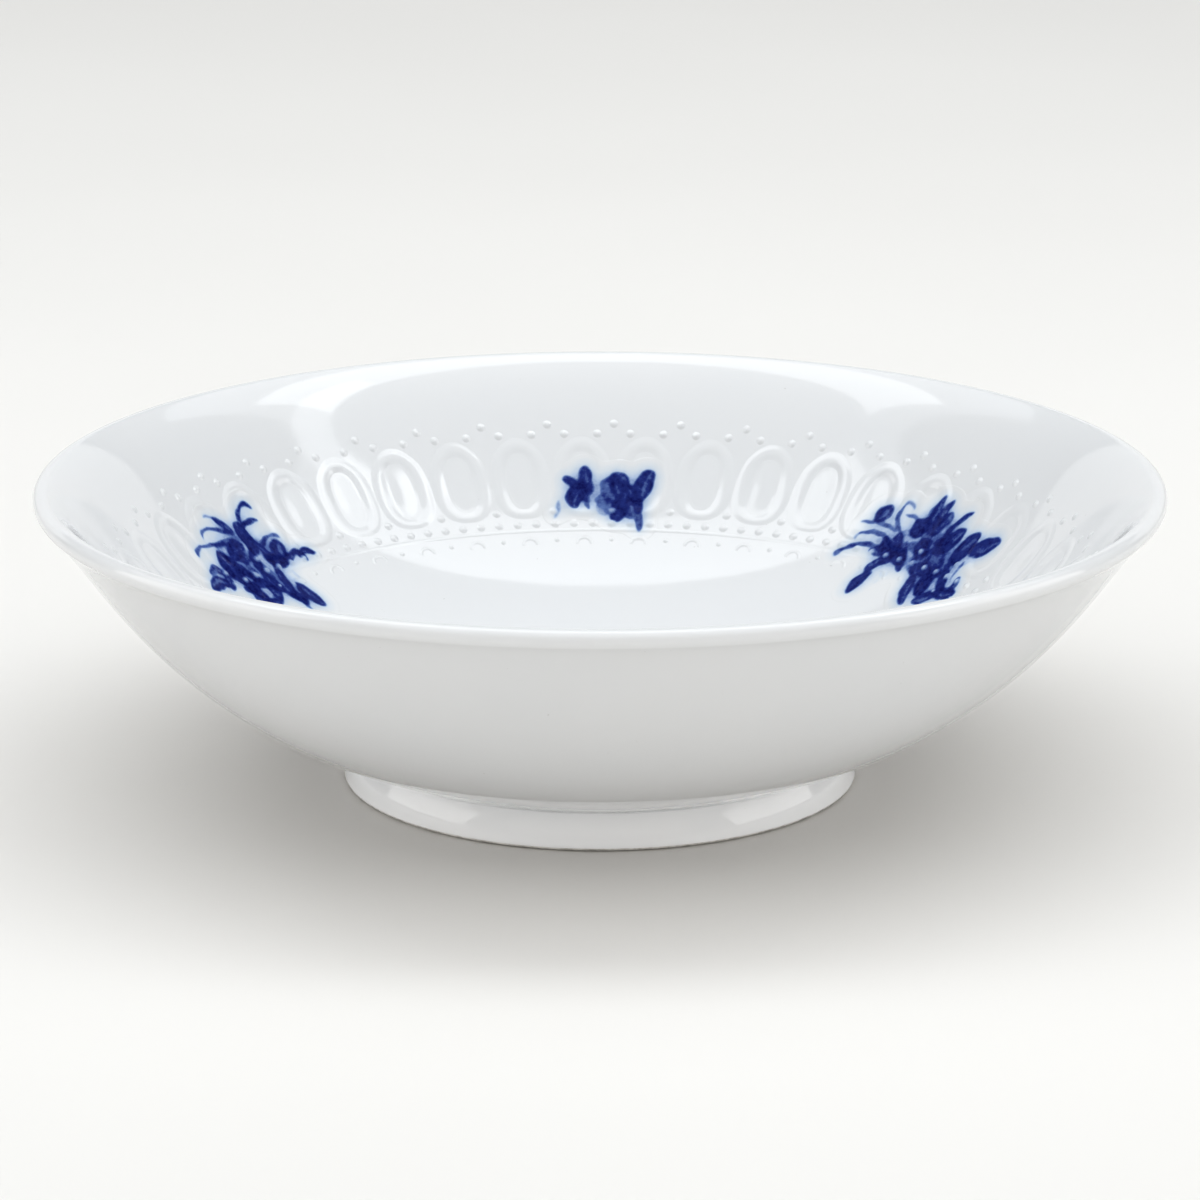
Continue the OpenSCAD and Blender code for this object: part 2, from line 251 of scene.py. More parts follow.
def make_body(material):
    """The wall, lip and floor, turned as one closed section."""
    wall = np.linspace(0, 1, WALL_RINGS)[1:-1]
    lip_turn = np.linspace(LIP_SLOPE - math.pi / 2, LIP_SLOPE + math.pi / 2, LIP_RINGS)
    lip = LIP_C + LIP_T / 2 * heading(lip_turn)
    floor_rings = np.linspace(0, BEND_C[0], FLOOR_RINGS)
    profile = (
        [(r, BEND_C[1] - FLOOR_BEND - BASE_T) for r in floor_rings[:-1]]
        + bend_arc(FLOOR_BEND + BASE_T, 0, FOOT_SLOPE)
        + list(outside(wall))
        + list(lip)
        + list(inside(wall[::-1]))
        + bend_arc(FLOOR_BEND, FOOT_SLOPE, 0)
        + [(r, BEND_C[1] - FLOOR_BEND) for r in floor_rings[-2::-1]]
    )
    verts, faces = revolved(profile)
    return make_piece("turned_body", verts, faces, material, "bowl_body")


def make_foot(material):
    """The foot ring: rounded bearing edge, swelling outer side, seat under the wall."""
    inner = FOOT_R - FOOT_W
    round_low = [
        np.array([FOOT_R - FOOT_ROUND, FOOT_ROUND]) + FOOT_ROUND * heading(a)
        for a in np.linspace(-math.pi / 2, 0, ROUND_RINGS)
    ]
    swell = [
        np.array([
            FOOT_R + (NECK_R - FOOT_R) * u + FOOT_SWELL * math.sin(math.pi * u) ** 1.2,
            FOOT_ROUND + (NECK_Z - FOOT_ROUND) * u,
        ])
        for u in np.linspace(0, 1, FOOT_RINGS)[1:-1]
    ]
    inner_slope = math.asin((inner - FOOT_LEAN - BEND_C[0]) / (FLOOR_BEND + BASE_T))
    seat = bend_arc(FLOOR_BEND + BASE_T, FOOT_SLOPE, inner_slope, 5)
    round_in = [
        np.array([inner + FOOT_ROUND, FOOT_ROUND]) + FOOT_ROUND * heading(a)
        for a in np.linspace(math.pi, 1.5 * math.pi, ROUND_RINGS)
    ]
    verts, faces = revolved(round_low + swell + seat + round_in)
    return make_piece("turned_foot", verts, faces, material, "foot_ring")


def strip_quads(rows, columns, wrap_rows=False, wrap_columns=False):
    """Quads of a grid of verts laid out row by row."""
    r = np.arange(rows if wrap_rows else rows - 1)
    c = np.arange(columns if wrap_columns else columns - 1)
    r, c = [v.ravel() for v in np.meshgrid(r, c, indexing="ij")]
    r2, c2 = (r + 1) % rows, (c + 1) % columns
    return np.stack([r * columns + c, r * columns + c2, r2 * columns + c2, r2 * columns + c], -1)


def joined(shapes):
    """Joins the verts and faces of many small solids."""
    verts, faces, start = [], [], 0
    for shape_verts, shape_faces in shapes:
        verts.append(shape_verts)
        faces += [[v + start for v in face] for face in shape_faces]
        start += len(shape_verts)
    return np.concatenate(verts), faces


def long_oval(a, w, h, rise=0.0, bulge=2 / SQUARENESS):
    """Outline of an oval with fairly straight sides, by angle from its upper end."""
    s, c = np.sin(a), np.cos(a)
    x = w / 2 * np.sign(s) * np.abs(s) ** bulge
    y = h / 2 * np.sign(c) * np.abs(c) ** bulge + rise * np.maximum(c, 0) ** TIP_SHARPNESS
    return x, y


def frame_solid(azimuth, points=88, rings=17):
    """A raised ring with soft shoulders that run out into the wall."""
    a = np.linspace(0, 2 * math.pi, points, endpoint=False)
    across = np.linspace(-RIDGE_REACH, RIDGE_REACH, rings)
    ox, oy = long_oval(a, OVAL_W, OVAL_H, TIP_RISE)
    ix, iy = long_oval(a, OPENING_W, OPENING_H)
    x = (ox + ix)[:, None] / 2 + across * (ox - ix)[:, None] / 2
    y = (oy + iy)[:, None] / 2 + across * (oy - iy)[:, None] / 2
    proud = FRAME_PROUD * ridge_height(across) - EDGE_SINK
    top = stand(azimuth, OVAL_DROP, x, y, np.broadcast_to(proud, x.shape))
    under = stand(azimuth, OVAL_DROP, x[:, [-1, 0]], y[:, [-1, 0]], -ROOT)
    verts = np.concatenate([top, under], axis=1)
    return verts.reshape(-1, 3), strip_quads(points, rings + 2, True, True)


def ridge_height(across):
    """Height of a ridge over its width, as a share of its full height; its half width is 1."""
    return smooth_step((RIDGE_REACH - np.abs(across)) / RIDGE_SHOULDER)


def dome_height(size):
    """Height of a dome at a distance from its middle, as a share of its full height."""
    return np.cos(np.clip(size / DOME_REACH, 0, 1) * math.pi / 2) ** DOME_POWER


def dome_solid(azimuth, drop, w, h, proud, rings, points):
    """A soft oval or round swelling of the wall."""
    a = np.linspace(0, 2 * math.pi, points, endpoint=False)
    x0, y0 = long_oval(a, w, h, bulge=2 / SQUARENESS if w != h else 1)
    size = np.append(np.linspace(0.06, 1.04, rings - 1), DOME_REACH)
    height = (proud * dome_height(size) - EDGE_SINK)[:, None]
    top = stand(azimuth, drop, size[:, None] * x0, size[:, None] * y0,
                np.broadcast_to(height, (rings, points)))
    under = stand(azimuth, drop, size[-1] * x0, size[-1] * y0, -ROOT)[None]
    crown = stand(azimuth, drop, np.zeros(1), np.zeros(1), proud - EDGE_SINK)
    floor = stand(azimuth, drop, np.zeros(1), np.zeros(1), -ROOT)
    verts = np.concatenate([np.concatenate([top, under]).reshape(-1, 3), crown, floor])
    quads = strip_quads(rings + 1, points, False, True)[:, ::-1]
    ring = np.arange(points)
    crown_fan = np.stack([ring, np.roll(ring, -1), np.full(points, len(verts) - 2)], -1)
    floor_fan = np.stack([rings * points + np.roll(ring, -1), rings * points + ring,
                          np.full(points, len(verts) - 1)], -1)
    return verts, quads.tolist() + crown_fan.tolist() + floor_fan.tolist()


def arch_solid(azimuth, points=22):
    """A small raised arch, open at the bottom, that fades out at both ends."""
    a = np.radians(np.linspace(-ARCH_TAIL, 180 + ARCH_TAIL, points))
    half = np.array([0.15, 0.5, 0.85, 1.15, RIDGE_REACH])
    across = np.concatenate([-half[::-1], half])
    fade = smooth_step(np.minimum(a - a[0], a[-1] - a) / ARCH_FADE)
    r = ARCH_R + across * ARCH_W / 2
    x = r * np.cos(a)[:, None]
    y = r * np.sin(a)[:, None]
    proud = ARCH_PROUD * ridge_height(across) * fade[:, None] - EDGE_SINK
    top = stand(azimuth, ARCH_DROP, x, y, proud)
    under = stand(azimuth, ARCH_DROP, x[:, [-1, 0]], y[:, [-1, 0]], -ROOT)
    rows, columns = points, len(across) + 2
    verts = np.concatenate([top, under], axis=1).reshape(-1, 3)
    quads = strip_quads(rows, columns, False, True)[:, ::-1]
    ends = []
    for row, flip in ((0, 1), (rows - 1, -1)):
        loop = row * columns + np.arange(columns)
        for k in range(1, columns // 2):
            ends.append([loop[k - 1], loop[k], loop[columns - 1 - k], loop[columns - k]][::flip])
    return verts, np.concatenate([quads, np.array(ends)])


def bead_places():
    """Azimuth, drop, radius and node of every bead."""
    for i in range(OVALS):
        middle = RELIEF_TURN + (i + 0.5) * PITCH
        yield "crown_beads", middle, CROWN_TOP, BEAD_R
        for side in (-PITCH / 4, PITCH / 4):
            yield "crown_beads", middle + side, CROWN_SIDE, BEAD_R
        yield "lower_beads", middle, BETWEEN, BEAD_R
        for third in (-PITCH / 3, 0, PITCH / 3):
            yield "lower_beads", middle + third, LOWER_ROW, BEAD_R
        yield "arch_beads", middle, ARCH_BEADS, SMALL_BEAD_R


def make_relief(material):
    """The sprigged ornament: one piece for each CAD node of the band."""
    azimuths = [RELIEF_TURN + i * PITCH for i in range(OVALS)]
    verts, quads = joined([frame_solid(a) for a in azimuths])
    make_piece("sprigged_frames", verts, quads, material, "oval_frames")
    verts, quads = joined([dome_solid(a, OVAL_DROP, BOSS_W, BOSS_H, BOSS_PROUD, 8, 36) for a in azimuths])
    make_piece("sprigged_bosses", verts, quads, material, "oval_bosses")
    verts, quads = joined([arch_solid(a) for a in azimuths])
    make_piece("sprigged_arches", verts, quads, material, "arches")
    for node in ("crown_beads", "lower_beads", "arch_beads"):
        beads = [
            dome_solid(azimuth, drop, 2 * r, 2 * r, BEAD_PROUD * r, 6, 18)
            for owner, azimuth, drop, r in bead_places() if owner == node
        ]
        verts, quads = joined(beads)
        make_piece("sprigged_" + node, verts, quads, material, node)
    make_band_line(material)


def make_band_line(material, rings=11):
    """The fine line under the lower beads, all the way round."""
    across = np.linspace(-RIDGE_REACH, RIDGE_REACH, rings)
    turn = np.linspace(0, 360, TURNS, endpoint=False)[:, None]
    drop = np.tile(LINE_DROP + LINE_W / 2 * across, (TURNS, 1))
    proud = np.tile(LINE_PROUD * ridge_height(across) - EDGE_SINK, (TURNS, 1))
    top = wall_points(turn, drop, proud)
    under = wall_points(turn, drop[:, [-1, 0]], np.full((TURNS, 2), -ROOT))
    verts = np.concatenate([top, under], axis=1).reshape(-1, 3)
    quads = strip_quads(TURNS, rings + 2, True, True)[:, ::-1]
    make_piece("sprigged_line", verts, quads, material, "band_line")


# Brush strokes as (start x, y, bend x, y, end x, y, width, strength), in millimetres round and up
# the wall from the spray's middle. A stroke is widest in the middle and pointed at its ends.
LARGE_A = [
    (-6.4, 5.2, -1.0, 0.0, 3.2, -12.0, 8.4, 0.5), (-8.6, 0.4, -4.8, -4.0, -2.6, -12.6, 6.4, 0.42),
    (3.2, 4.4, 6.8, 0.4, 9.8, -3.8, 5.8, 0.48), (4.2, -2.0, 4.2, -9.0, 7.6, -15.6, 5.0, 0.32),
    (1.7, 6.2, 0.2, 9.4, -1.6, 11.8, 2.2, 0.95), (-1.2, 11.4, -3.0, 13.4, -4.9, 12.6, 0.8, 0.5),
    (2.4, 4.8, -2.8, 9.8, -7.0, 9.9, 1.2, 0.8), (-6.2, 10.0, -9.6, 10.4, -9.9, 7.8, 1.0, 0.65),
    (1.8, 3.2, -6.0, 5.8, -13.0, 6.6, 1.3, 0.75), (-12.2, 6.7, -15.6, 7.0, -16.0, 4.6, 1.2, 0.75),
    (2.8, 3.8, -0.4, 6.0, -3.6, 5.8, 1.0, 0.7), (-3.4, 5.8, -4.4, 5.4, -4.2, 4.4, 0.7, 0.5),
    (4.8, 5.8, 6.0, 10.2, 9.4, 12.2, 1.5, 0.85), (8.6, 12.0, 12.0, 13.4, 12.6, 10.8, 1.4, 0.9),
    (5.4, 6.6, 8.0, 8.8, 12.0, 7.5, 1.6, 0.9), (4.6, 1.6, 4.6, 5.0, 4.2, 8.8, 4.0, 1.0),
    (3.6, -0.4, 4.6, 2.4, 4.8, 5.4, 3.2, 1.0), (7.0, 0.6, 9.2, 2.6, 11.6, 2.9, 1.5, 0.8),
    (11.2, 2.9, 13.8, 3.6, 14.5, 1.4, 1.1, 0.65), (9.4, -4.8, 11.0, -1.6, 12.8, 1.4, 4.4, 1.0),
    (8.8, -4.6, 12.6, -4.4, 16.4, -2.2, 2.2, 0.95), (16.0, -2.2, 16.6, -3.8, 17.0, -6.0, 1.9, 0.9),
    (16.4, -3.8, 19.2, -2.4, 20.8, -4.8, 2.1, 0.95), (6.6, -2.2, 8.4, -4.0, 10.6, -4.6, 4.4, 1.0),
    (-4.2, 0.6, -1.8, 3.4, 1.2, 2.8, 4.8, 0.95), (-3.0, 0.4, -1.2, -1.2, 1.0, 0.2, 3.0, 0.85),
    (-6.6, -6.0, -8.8, -1.4, -7.8, 3.8, 5.2, 1.0), (-6.0, -4.6, -5.2, -1.0, -6.8, 2.0, 3.0, 0.95),
    (-16.6, -0.2, -12.2, 1.8, -11.6, -2.8, 2.7, 0.9), (-11.8, -1.2, -11.0, -4.0, -13.4, -6.2, 2.6, 0.95),
    (-12.8, -4.4, -16.2, -2.0, -20.2, -3.2, 4.0, 0.95), (-6.6, -4.2, -6.0, -6.8, -6.4, -9.6, 3.0, 1.0),
    (-9.0, -7.0, -6.6, -8.4, -4.0, -8.6, 3.0, 0.95), (-4.6, -7.6, -2.4, -6.4, -0.4, -8.6, 3.2, 0.9),
    (-7.2, -9.2, -7.4, -11.8, -4.8, -13.4, 3.2, 0.95), (-1.0, -8.8, 0.4, -11.0, -0.8, -13.4, 3.2, 0.95),
    (-5.2, -12.4, -3.0, -14.4, -0.6, -13.2, 2.8, 0.95), (-5.4, -9.6, -4.8, -10.8, -5.2, -12.0, 2.4, 0.9),
    (3.0, 1.0, 1.6, -2.4, 1.6, -5.6, 2.8, 0.95), (1.6, -4.6, 0.8, -7.8, 2.8, -12.2, 3.2, 0.95),
    (-1.8, -0.6, -2.4, -3.0, 0.2, -4.8, 1.7, 0.6), (-4.2, -1.2, -4.8, -4.2, -1.6, -6.4, 2.2, 0.85),
    (6.0, 3.0, 7.6, -1.0, 6.6, -5.0, 2.6, 0.95), (6.8, -4.0, 5.0, -9.0, 5.2, -15.8, 2.3, 0.95),
    (9.8, -19.0, 8.0, -15.0, 8.4, -11.0, 3.8, 1.0), (4.2, -12.6, 5.0, -14.6, 5.8, -17.0, 3.2, 0.95),
    (5.2, -16.0, 4.8, -17.4, 5.0, -19.0, 1.2, 0.6), (2.4, -11.2, 3.2, -13.8, 5.2, -15.4, 1.7, 0.75),
    (9.2, -6.0, 11.0, -8.0, 10.0, -10.4, 1.3, 0.22),
]
LARGE_B = [
    (-9.4, 0.6, -2.0, 1.6, 6.6, 1.4, 7.0, 0.5), (-4.4, -1.8, 4.0, -4.6, 13.4, -2.6, 9.8, 0.54),
    (2.4, -5.2, 8.4, -9.4, 15.4, -8.4, 8.4, 0.48), (-3.4, 3.6, 0.6, 5.6, 4.2, 4.6, 6.6, 0.44),
    (8.8, 1.0, 13.6, -1.4, 18.4, 2.2, 5.2, 0.34), (-12.4, -1.4, -8.8, -3.6, -4.2, -6.0, 6.0, 0.4),
    (-17.9, 3.6, -17.4, 5.4, -16.2, 7.0, 4.2, 0.95), (-18.8, 4.8, -20.2, 7.0, -17.4, 7.7, 0.9, 0.45),
    (-10.2, 1.2, -16.0, 3.8, -22.0, 2.0, 1.4, 0.65), (-10.4, -1.8, -15.2, 1.6, -20.4, -1.2, 1.6, 0.7),
    (-19.6, -0.6, -21.0, -1.8, -20.0, -3.2, 0.9, 0.45), (-11.4, -3.6, -18.6, -2.4, -21.9, -6.8, 1.6, 0.75),
    (-21.4, -6.2, -22.4, -7.2, -21.8, -8.2, 1.7, 0.65), (-9.2, 1.6, -13.8, 4.0, -13.0, 8.6, 1.4, 0.75),
    (-13.1, 7.8, -12.4, 11.6, -9.6, 8.0, 1.0, 0.55), (-4.6, 4.4, -7.6, 7.2, -11.4, 6.3, 1.2, 0.6),
    (-1.0, 3.0, -3.6, 8.0, -2.7, 13.8, 3.0, 0.95), (-0.8, 4.0, -1.0, 9.0, 0.4, 13.2, 2.3, 0.9),
    (-3.2, 5.6, -5.4, 8.0, -4.4, 10.2, 1.2, 0.55), (0.0, 3.4, 0.8, 6.8, 2.6, 9.8, 4.0, 0.9),
    (-6.9, 3.6, -4.6, 6.6, -2.4, 4.0, 3.6, 0.95), (-6.6, 3.4, -4.8, 2.2, -2.8, 3.2, 3.2, 1.0),
    (4.0, 2.8, 4.6, 8.0, 8.8, 12.0, 1.9, 0.9), (4.0, -0.8, 6.8, 2.4, 9.4, 7.2, 5.0, 1.0),
    (3.2, 1.2, 5.4, 2.8, 7.6, 2.4, 3.6, 0.95), (12.4, -1.6, 12.4, 3.0, 15.2, 7.2, 5.2, 1.0),
    (16.2, 2.4, 19.0, 4.6, 24.0, 8.0, 4.9, 1.0), (14.4, 2.0, 15.8, 3.2, 17.6, 3.6, 1.1, 0.55),
    (-9.0, 1.2, -8.8, -1.6, -7.2, -4.0, 3.4, 0.95), (-12.6, -0.6, -10.2, -4.0, -5.0, -4.8, 3.6, 0.95),
    (-14.4, -5.0, -11.0, -4.4, -7.4, -4.4, 3.0, 0.85), (-7.4, -3.2, -5.0, -4.2, -3.4, -6.2, 4.4, 1.0),
    (-5.8, -0.4, -5.2, -3.0, -4.2, -5.2, 2.2, 0.7), (-4.4, -4.8, -3.2, -6.6, -1.6, -8.2, 2.1, 0.9),
    (-6.4, -6.4, -10.2, -6.6, -11.0, -11.0, 2.9, 0.95), (-9.2, -10.6, -11.2, -13.6, -10.4, -18.0, 3.3, 1.0),
    (-1.8, -0.2, 0.6, -0.6, 1.2, -3.6, 3.8, 0.95), (-0.8, -2.8, 0.8, -6.2, 3.0, -8.4, 1.7, 0.7),
    (-1.8, 1.2, 0.0, 0.4, 1.8, 0.8, 2.8, 0.9), (2.4, -0.6, 3.6, -2.6, 3.0, -5.4, 3.0, 0.7),
    (4.8, 0.2, 6.8, -0.4, 8.6, -2.0, 2.8, 0.62), (8.6, -1.4, 9.2, -3.6, 7.8, -5.6, 2.6, 0.66),
    (3.2, -4.8, 5.2, -6.6, 7.6, -5.8, 3.4, 0.9), (4.6, -2.4, 5.6, -3.2, 6.8, -3.0, 2.6, 0.5),
    (9.4, -12.6, 7.6, -9.0, 9.4, -5.4, 4.6, 1.0), (7.2, -16.6, 3.8, -12.0, 4.0, -7.8, 3.4, 0.95),
    (12.2, -2.6, 13.4, -7.0, 15.6, -10.2, 3.0, 0.95), (13.8, -10.2, 17.2, -9.8, 21.0, -8.0, 3.8, 1.0),
    (19.4, -8.4, 18.4, -6.4, 18.4, -4.2, 2.2, 0.9), (9.8, -14.8, 12.2, -12.8, 15.4, -9.4, 3.4, 0.9),
    (10.9, 1.6, 12.0, -2.0, 10.8, -6.6, 1.5, 0.7), (16.4, 0.2, 14.8, -4.0, 16.8, -7.0, 1.1, 0.5),
    (8.0, -0.6, 10.4, -4.0, 10.0, -8.4, 1.5, 0.6), (-5.0, -7.4, -5.6, -9.4, -4.6, -11.0, 2.6, 0.16),
    (-7.0, -9.4, -6.6, -11.6, -5.6, -13.4, 2.2, 0.12),
]
SMALL = [
    (-6.4, 3.6, 0.6, 3.4, 8.6, 3.8, 6.4, 0.4), (-1.2, 0.6, 3.4, -1.6, 7.8, -2.2, 4.4, 0.34),
    (-3.4, 3.2, -5.2, 7.0, -4.2, 10.6, 3.6, 1.0), (-5.8, 4.2, -7.4, 6.8, -9.8, 7.6, 2.4, 0.95),
    (-7.2, -0.4, -7.6, 3.2, -4.6, 6.0, 4.6, 1.0), (-4.2, 5.4, -4.6, 2.0, -3.6, -1.4, 1.5, 0.7),
    (2.2, 1.0, -0.2, 4.0, 1.2, 7.8, 3.1, 0.6), (2.2, 8.2, 4.2, 5.4, 3.6, 1.8, 3.3, 1.0),
    (0.6, 6.6, 4.0, 10.0, 6.4, 6.0, 2.0, 0.85), (1.2, 3.2, -1.6, 0.6, 0.6, -3.0, 3.4, 0.5),
    (4.8, 6.6, 6.8, 4.0, 7.8, 0.8, 2.4, 0.9), (8.8, 1.2, 9.2, 6.2, 11.8, 9.4, 4.5, 1.0),
    (7.6, 3.2, 8.8, 0.6, 8.0, -2.4, 2.7, 0.95), (2.8, -4.4, 3.6, -1.0, 5.4, 2.6, 4.3, 0.95),
    (3.8, 0.2, 6.2, -1.8, 6.8, -4.0, 2.4, 0.75), (8.0, -0.8, 9.0, -4.0, 8.4, -7.4, 2.0, 0.75),
    (-10.8, 1.6, -10.8, -1.0, -11.8, -3.6, 1.2, 0.42), (5.2, 0.2, 7.0, 1.4, 8.4, 0.4, 2.0, 0.85),
]


def stroke_ink(x, y, stroke):
    """Strength of one brush stroke over a grid of places, streaked along its length."""
    x0, y0, xb, yb, x1, y1, width, strength = stroke
    ink = np.zeros_like(x)
    nearest = np.full_like(x, np.inf)
    side = np.zeros_like(x)
    for u in np.linspace(0.02, 0.98, STROKE_STEPS):
        px = (1 - u) ** 2 * x0 + 2 * (1 - u) * u * xb + u * u * x1
        py = (1 - u) ** 2 * y0 + 2 * (1 - u) * u * yb + u * u * y1
        tx = (1 - u) * (xb - x0) + u * (x1 - xb)
        ty = (1 - u) * (yb - y0) + u * (y1 - yb)
        half = width / 2 * math.sin(math.pi * u) ** 0.55 + BRUSH_SPREAD
        away = np.hypot(x - px, y - py)
        ink = np.maximum(ink, smooth_step((half + BRUSH_EDGE - away) / (2 * BRUSH_EDGE)))
        closer = away < nearest
        nearest = np.where(closer, away, nearest)
        across = ((x - px) * ty - (y - py) * tx) / (math.hypot(tx, ty) * half)
        side = np.where(closer, across, side)
    # One deep furrow right of the middle, and finer ones that differ from stroke to stroke
    bristles = 0.6 * np.exp(-((side - 0.2) / 0.22) ** 2) + 0.4 * np.cos(7 * side + x0) ** 2
    return strength * ink * (1 - STREAK * smooth_step((width - 1.2) / 1.6) * bristles)


def blurred(field, sigma):
    """Gaussian blur of a grid, with sigma in cells."""
    reach = int(3 * sigma)
    k = np.exp(-0.5 * (np.arange(-reach, reach + 1) / sigma) ** 2)
    k /= k.sum()
    for axis in (0, 1):
        field = np.apply_along_axis(lambda v: np.convolve(v, k, mode="same"), axis, field)
    return field


def painted(x, y, strokes):
    """Ink with the bleed round it, and its pale halo, over a grid of places."""
    bare = np.ones_like(x)
    # Two slow crossing waves stand for the hand's wobble
    shaky_x = x + WOBBLE * np.sin(1.3 * y + 1.2 * np.sin(0.9 * x))
    shaky_y = y + WOBBLE * np.sin(1.6 * x + 1.4 * np.sin(0.8 * y))
    for stroke in strokes:
        bare *= 1 - stroke_ink(shaky_x, shaky_y, stroke)
    ink = blurred(1 - bare, INK_BLUR / CELL)
    bleed = blurred(ink, BLEED_REACH / CELL)
    halo = blurred(ink, HALO_REACH / CELL)
    return np.maximum(ink, BLEED * bleed), halo


def frame_across(x, y):
    """Where a place lies across a frame's width, from -1 at its opening to 1 at its outer edge.

    It is found by halving the step, because the frame's ovals have no simple inverse."""
    low, high = np.full_like(x, -RIDGE_REACH - 0.05), np.full_like(x, RIDGE_REACH + 0.05)
    for _ in range(14):
        v = (low + high) / 2
        a = (OVAL_W + OPENING_W + v * (OVAL_W - OPENING_W)) / 4
        b = (OVAL_H + OPENING_H + v * (OVAL_H - OPENING_H)) / 4
        outer = np.abs(x / a) ** SQUARENESS + np.abs(y / b) ** SQUARENESS > 1
        low, high = np.where(outer, v, low), np.where(outer, high, v)
    return (low + high) / 2


def relief_height(azimuth, drop):
    """Height of the raised ornament over the wall, and how much of it is bead, in millimetres."""
    r = radius_at(drop)
    height = np.zeros_like(drop)
    beads = np.zeros_like(drop)
    for i in np.unique(np.round((azimuth - RELIEF_TURN) / PITCH)).astype(int):
        x = np.radians(azimuth - RELIEF_TURN - i * PITCH) * r
        y = OVAL_DROP - drop
        height = np.maximum(height, FRAME_PROUD * ridge_height(frame_across(x, y)))
        size = (np.abs(2 * x / BOSS_W) ** SQUARENESS
                + np.abs(2 * y / BOSS_H) ** SQUARENESS) ** (1 / SQUARENESS)
        height = np.maximum(height, BOSS_PROUD * dome_height(size))
        ya = ARCH_DROP - drop
        turn = np.degrees(np.arctan2(ya, x))
        ring = (np.hypot(x, ya) - ARCH_R) * 2 / ARCH_W
        on_arch = (turn > -ARCH_TAIL) | (turn < ARCH_TAIL - 180)
        height = np.maximum(height, ARCH_PROUD * ridge_height(ring) * on_arch)
    height = np.maximum(height, LINE_PROUD * ridge_height((drop - LINE_DROP) * 2 / LINE_W))
    for _, place, bead_drop, bead_r in bead_places():
        near = (azimuth - place + 180) % 360 - 180
        if np.abs(near).min() > 1:
            continue
        size = np.hypot(np.radians(near) * r, drop - bead_drop) / bead_r
        dome = dome_height(size)
        height = np.maximum(height, BEAD_PROUD * bead_r * dome)
        beads = np.maximum(beads, dome)
    return height, beads


def paint_grid(strokes):
    """Local places round the wall and up it, in millimetres, that hold the strokes and their bleed."""
    ends = np.array([(stroke[0], stroke[1], stroke[4], stroke[5]) for stroke in strokes])
    x = np.arange(ends[:, ::2].min() - PAINT_MARGIN, ends[:, ::2].max() + PAINT_MARGIN, CELL)
    y = np.arange(ends[:, 1::2].min() - PAINT_MARGIN, ends[:, 1::2].max() + PAINT_MARGIN, CELL)
    return np.meshgrid(x, y)


def film_faces(kept):
    """Closed shell of the kept cells of a grid that has a top layer of verts and an under layer."""
    rows, columns = kept.shape[0] + 1, kept.shape[1] + 1
    below = rows * columns
    quads = strip_quads(rows, columns)
    shell = [quads[kept.ravel()], quads[kept.ravel()][:, ::-1] + below]
    padded = np.pad(kept, 1)
    sides = (((-1, 0), (0, 1)), ((0, 1), (1, 2)), ((1, 0), (2, 3)), ((0, -1), (3, 0)))
    for (row_step, column_step), (p, q) in sides:
        neighbour = padded[1 + row_step:rows + row_step, 1 + column_step:columns + column_step]
        e = quads[(kept & ~neighbour).ravel()]
        shell.append(np.stack([e[:, q], e[:, p], e[:, p] + below, e[:, q] + below], -1))
    return np.concatenate(shell)


def make_spray(name, azimuth, strokes, material):
    """A film of cobalt that lies over the wall and its relief, trimmed to where there is colour."""
    x, y = paint_grid(strokes)
    ink, halo = painted(x, y, strokes)
    drop = SPRAY_DROP - y
    turn = azimuth + np.degrees(x / radius_at(drop))
    height, beads = relief_height(turn, drop)
    # The ink thins over the beads and ridges; the pale bead tops are partly a painted highlight
    ink = ink * (1 - BEAD_SHED_AND_HIGHLIGHT * beads) * (1 - RIDGE_SHED * height / FRAME_PROUD)
    bleed = np.minimum(HALO_LIMIT, HALO_TINT * halo)
    tint = np.maximum(ink, bleed) * smooth_step((halo - HALO_START) / HALO_FADE)
    # The film dips under the wall at its edge, so that no step shows
    film = FILM * (2 * smooth_step(halo / EDGE_HALO - 1) - 1)
    top = wall_points(turn, drop, height + film)
    under = wall_points(turn, drop, height - FILM_ROOT)
    verts = np.concatenate([top.reshape(-1, 3), under.reshape(-1, 3)])
    coloured = halo > EDGE_HALO
    quads = film_faces(coloured[:-1, :-1] | coloured[:-1, 1:] | coloured[1:, 1:] | coloured[1:, :-1])
    used, renumbered = np.unique(quads, return_inverse=True)
    quads = renumbered.reshape(quads.shape)
    piece = make_piece("painted_" + name, verts[used], quads, material, name)
    ink_layer = piece.data.attributes.new("ink", "FLOAT", "POINT")
    ink_layer.data.foreach_set("value", np.tile(tint.ravel(), 2)[used].astype(np.float32))


def new_material(name):
    material = bpy.data.materials.new(name)
    material.use_nodes = True
    tree = material.node_tree
    return material, tree, tree.nodes["Principled BSDF"]


def feed(tree, socket, value):
    """Gives a socket a constant or a colour, or links another node's output to it."""
    if isinstance(value, bpy.types.NodeSocket):
        tree.links.new(value, socket)
    elif isinstance(value, tuple):
        socket.default_value = (*value, 1)
    else:
        socket.default_value = value


def add_node(tree, kind, **inputs):
    """A new node with its named inputs fed; spaces in the names are written as underscores."""
    node = tree.nodes.new(kind)
    for name, value in inputs.items():
        feed(tree, node.inputs[name.replace("_", " ")], value)
    return node


def object_coords(tree):
    return tree.nodes.new("ShaderNodeTexCoord").outputs["Object"]


def noise(tree, coords, scale, detail=3.0, roughness=0.5):
    node = add_node(tree, "ShaderNodeTexNoise", Vector=coords, Scale=scale, Detail=detail,
                    Roughness=roughness)
    return node.outputs["Fac"]


